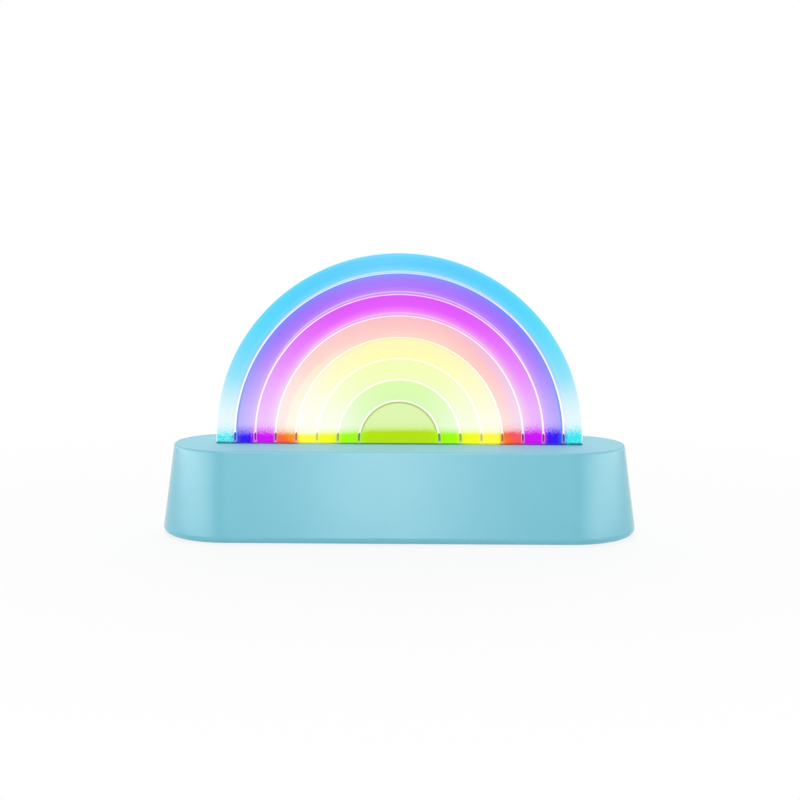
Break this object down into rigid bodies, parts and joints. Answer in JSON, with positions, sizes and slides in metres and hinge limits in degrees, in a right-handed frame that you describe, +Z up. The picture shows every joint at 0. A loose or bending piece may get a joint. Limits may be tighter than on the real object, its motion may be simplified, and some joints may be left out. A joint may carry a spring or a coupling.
{
  "type": "rainbow lamp",
  "caption": "Edge-lit lamp: a slotted clear acrylic rainbow stands in a light channel sunk in an oblong moulded base with push buttons and a charging inlet at the back.",
  "frame": {"origin": "on the table, under the middle of the base's plan", "axes": "+X along the lamp, to the right seen from the front; -Y is the front; +Z up"},
  "size_m": [0.2386, 0.0688, 0.1422],
  "materials": {
    "blue_plastic": "satin moulded, pale blue",
    "white_plastic": "satin moulded, white",
    "cream_plastic": "moulded connector plastic, cream",
    "black_plastic": "matt moulded, black",
    "grey_plastic": "matt moulded, light grey",
    "button_plastic": "polished moulded, white",
    "clear_acrylic": "clear cast acrylic, laser cut, lit from its foot",
    "anodised_aluminium": "dark anodised, extruded",
    "foot_rubber": "matt, grey",
    "screw_steel": "zinc plated",
    "inlet_steel": "bright nickel plated",
    "light_cyan": "lit lens",
    "light_blue": "lit lens",
    "light_magenta": "lit lens",
    "light_orange": "lit lens",
    "light_yellow": "lit lens",
    "light_lemon": "lit lens",
    "light_green": "lit lens",
    "light_lime": "lit lens",
    "white_circuit_board": "white solder resist",
    "green_circuit_board": "green solder resist",
    "capacitor_can": "bright drawn can",
    "inductor_ferrite": "matt moulded ferrite",
    "cell_wrap": "shrunk film over a can",
    "nickel_tab": "nickel strip",
    "red_wire": "insulated copper wire",
    "black_wire": "insulated copper wire",
    "white_wire": "insulated copper wire"
  },
  "bodies": {
    "base": {"base_housing": "blue_plastic", "bottom_cover": "blue_plastic", "rubber_feet": "foot_rubber", "cover_screws": "screw_steel", "light_channel": "anodised_aluminium", "channel_screws": "screw_steel", "light_mask": "white_plastic", "led_board": "white_circuit_board", "leds_cyan": "light_cyan", "leds_blue": "light_blue", "leds_magenta": "light_magenta", "leds_orange": "light_orange", "leds_yellow": "light_yellow", "leds_lemon": "light_lemon", "leds_green": "light_green", "leds_lime": "light_lime", "control_board": "green_circuit_board", "board_screws": "screw_steel", "controller_chip": "black_plastic", "charger_chip": "black_plastic", "power_inductor": "inductor_ferrite", "board_capacitors": "capacitor_can", "usb_shell": "inlet_steel", "usb_tongue": "black_plastic", "power_switch": "black_plastic", "mode_switch": "black_plastic", "battery_cell": "cell_wrap", "battery_tabs": "nickel_tab", "battery_clamp": "grey_plastic", "clamp_screws": "screw_steel", "battery_header": "cream_plastic", "battery_plug": "cream_plastic", "battery_lead_red": "red_wire", "battery_lead_black": "black_wire", "led_header": "cream_plastic", "led_plug": "cream_plastic", "led_leads": "white_wire"},
    "panel": {"rainbow_panel": "clear_acrylic"},
    "power_key": {"power_button": "button_plastic", "power_plunger": "black_plastic"},
    "mode_key": {"mode_button": "button_plastic", "mode_plunger": "black_plastic"}
  },
  "joints": [
    {"name": "panel_lift_out", "type": "slide", "parent": "base", "child": "panel", "axis": [0, 0, 1], "range_m": [0, 0.015]},
    {"name": "power_button_press", "type": "slide", "parent": "base", "child": "power_key", "axis": [0, -0.9907, -0.1357], "range_m": [0, 0.0005], "stiffness_N_per_m": 1500, "springref_m": -0.0003},
    {"name": "mode_button_press", "type": "slide", "parent": "base", "child": "mode_key", "axis": [0, -0.9907, -0.1357], "range_m": [0, 0.0005], "stiffness_N_per_m": 1500, "springref_m": -0.0003}
  ]
}
